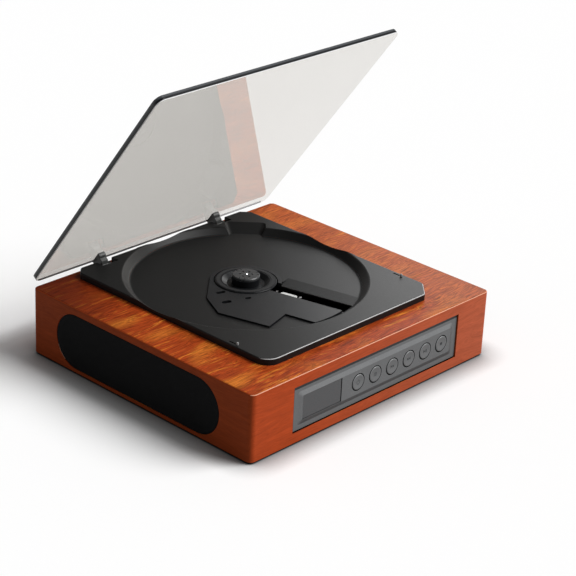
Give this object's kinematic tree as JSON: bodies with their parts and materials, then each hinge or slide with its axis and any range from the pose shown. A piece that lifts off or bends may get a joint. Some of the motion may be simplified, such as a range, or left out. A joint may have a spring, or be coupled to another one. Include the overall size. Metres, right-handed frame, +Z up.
{
  "type": "desktop cd player",
  "caption": "Low wooden desktop CD player with an open disc well under a hinged clear lid, front buttons and side grilles.",
  "frame": {"origin": "under the middle of the whole object with the lid open, on the plane the feet stand on", "axes": "+X to the right, +Y to the back, +Z up; the control panel faces -Y"},
  "size_m": [0.18, 0.1671, 0.1664],
  "materials": {
    "veneer": "red-brown veneer under a gloss lacquer",
    "wood_block": "bare glue blocks",
    "acrylic": "clear acrylic sheet with polished edges, slightly smoky",
    "deck_plastic": "black ABS, fine satin spark texture",
    "cover_plastic": "black ABS, satin",
    "hinge_plastic": "dark grey moulded nylon",
    "panel_plastic": "grey ABS, fine texture",
    "window_plastic": "smoked window",
    "button_plastic": "grey ABS with a soft gloss",
    "cloth": "black acoustic cloth",
    "grille_plastic": "black ABS",
    "base_plastic": "black ABS",
    "rubber": "black rubber",
    "bumper": "pale silicone rubber",
    "screw_steel": "zinc plated",
    "steel": "plated sheet steel",
    "bright_steel": "ground and polished",
    "cast_metal": "die-cast",
    "gear_plastic": "white acetal",
    "lens_plastic": "black liquid-crystal polymer",
    "holder_plastic": "silver-grey liquid-crystal polymer",
    "lens_glass": "coated lens",
    "cone_paper": "coated cone",
    "circuit_board": "green solder mask",
    "display": "display glass and housing"
  },
  "bodies": {
    "cabinet": {"wood_cabinet": "veneer", "corner_blocks": "wood_block", "deck": "deck_plastic", "mechanism_cover": "cover_plastic", "hinge_bracket_left": "deck_plastic", "hinge_bracket_right": "deck_plastic", "hinge_pins": "bright_steel", "lid_rest_pins": "bumper", "control_panel": "panel_plastic", "display_window": "window_plastic", "display_module": "display", "control_board": "circuit_board", "tact_switches": "lens_plastic", "infrared_receiver": "lens_plastic", "grille_frame_left": "grille_plastic", "grille_frame_right": "grille_plastic", "grille_cloth_left": "cloth", "grille_cloth_right": "cloth", "speaker_basket_left": "steel", "speaker_basket_right": "steel", "speaker_cone_left": "cone_paper", "speaker_cone_right": "cone_paper", "speaker_magnet_left": "steel", "speaker_magnet_right": "steel", "base_plate": "base_plastic", "rubber_feet": "rubber", "base_screws": "screw_steel", "deck_screws": "screw_steel", "mechanism_chassis": "steel", "chassis_dampers": "rubber", "chassis_screws": "screw_steel", "spindle_motor": "steel", "sled_motor": "steel", "guide_rod": "bright_steel", "side_rail": "lens_plastic", "main_board": "circuit_board", "rear_jack_plate": "base_plastic", "power_jack": "lens_plastic", "audio_jack": "lens_plastic"},
    "lid": {"lid_sheet": "acrylic", "hinge_arm_left": "hinge_plastic", "hinge_arm_right": "hinge_plastic"},
    "turntable": {"spindle_shaft": "bright_steel", "turntable": "cover_plastic", "disc_pad": "rubber", "hub_cap": "cover_plastic"},
    "sled": {"pickup_sled": "cast_metal", "actuator_yoke": "bright_steel"},
    "lens": {"lens_holder": "holder_plastic", "objective_lens": "lens_glass"},
    "feed_gear": {"feed_gear": "gear_plastic"},
    "motor_pinion": {"motor_pinion": "gear_plastic"},
    "button_power": {"button_power": "button_plastic"},
    "button_function": {"button_function": "button_plastic"},
    "button_previous": {"button_previous": "button_plastic"},
    "button_next": {"button_next": "button_plastic"},
    "button_play": {"button_play": "button_plastic"},
    "button_stop": {"button_stop": "button_plastic"}
  },
  "joints": [
    {"name": "lid_hinge", "type": "hinge", "parent": "cabinet", "child": "lid", "pos_m": [0, 0.07329, 0.0386], "axis": [1, 0, 0], "range_deg": [0, 54.4]},
    {"name": "power_press", "type": "slide", "parent": "cabinet", "child": "button_power", "axis": [0, 1, 0], "range_m": [0, 0.0006], "stiffness_N_per_m": 200, "springref_m": -0.0005},
    {"name": "function_press", "type": "slide", "parent": "cabinet", "child": "button_function", "axis": [0, 1, 0], "range_m": [0, 0.0006], "stiffness_N_per_m": 200, "springref_m": -0.0005},
    {"name": "previous_press", "type": "slide", "parent": "cabinet", "child": "button_previous", "axis": [0, 1, 0], "range_m": [0, 0.0006], "stiffness_N_per_m": 200, "springref_m": -0.0005},
    {"name": "next_press", "type": "slide", "parent": "cabinet", "child": "button_next", "axis": [0, 1, 0], "range_m": [0, 0.0006], "stiffness_N_per_m": 200, "springref_m": -0.0005},
    {"name": "play_press", "type": "slide", "parent": "cabinet", "child": "button_play", "axis": [0, 1, 0], "range_m": [0, 0.0006], "stiffness_N_per_m": 200, "springref_m": -0.0005},
    {"name": "stop_press", "type": "slide", "parent": "cabinet", "child": "button_stop", "axis": [0, 1, 0], "range_m": [0, 0.0006], "stiffness_N_per_m": 200, "springref_m": -0.0005},
    {"name": "turntable_spin", "type": "hinge", "parent": "cabinet", "child": "turntable", "pos_m": [0, 0.01069, 0.0377], "axis": [0, 0, 1], "continuous": true},
    {"name": "sled_travel", "type": "slide", "parent": "cabinet", "child": "sled", "axis": [0.2419, -0.9703, 0], "range_m": [0, 0.033]},
    {"name": "feed_gear_spin", "type": "hinge", "parent": "cabinet", "child": "feed_gear", "pos_m": [-0.01361, -0.0298, 0.027], "axis": [0, 0, 1], "range_deg": [-540.5, 0.2]},
    {"name": "pinion_spin", "type": "hinge", "parent": "cabinet", "child": "motor_pinion", "pos_m": [-0.01724, -0.01525, 0.027], "axis": [0, 0, 1], "range_deg": [-1, 2162]},
    {"name": "lens_focus", "type": "slide", "parent": "sled", "child": "lens", "axis": [0, 0, 1], "range_m": [-0.0003, 0.0003], "stiffness_N_per_m": 40}
  ],
  "couplings": [
    {"joint": "feed_gear_spin", "follows": "sled_travel", "rad_per_m": -285.71},
    {"joint": "pinion_spin", "follows": "sled_travel", "rad_per_m": 1142.9}
  ]
}
